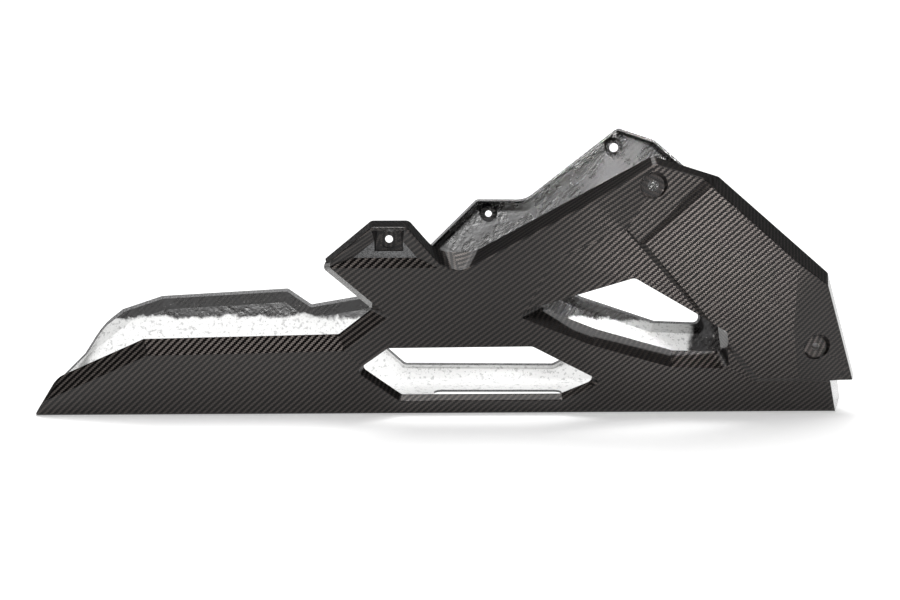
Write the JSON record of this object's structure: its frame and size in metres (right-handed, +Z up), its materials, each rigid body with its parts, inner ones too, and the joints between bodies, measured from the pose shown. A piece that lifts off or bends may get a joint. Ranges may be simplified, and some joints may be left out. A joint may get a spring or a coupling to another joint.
{
  "type": "motorcycle belly pan",
  "caption": "One-piece carbon-fibre belly pan with a flat floor, flared faceted sides, large side windows and sunk mounting holes.",
  "frame": {"origin": "on the underside of the floor, half way along and half way across the pan", "axes": "+X forward along the motorcycle, +Y to its left, +Z up"},
  "size_m": [0.734, 0.2936, 0.2387],
  "materials": {
    "carbon": "clear-coated twill carbon laminate outside, rough glossy resin inside"
  },
  "bodies": {
    "root": {"belly_pan": "carbon"}
  },
  "joints": []
}
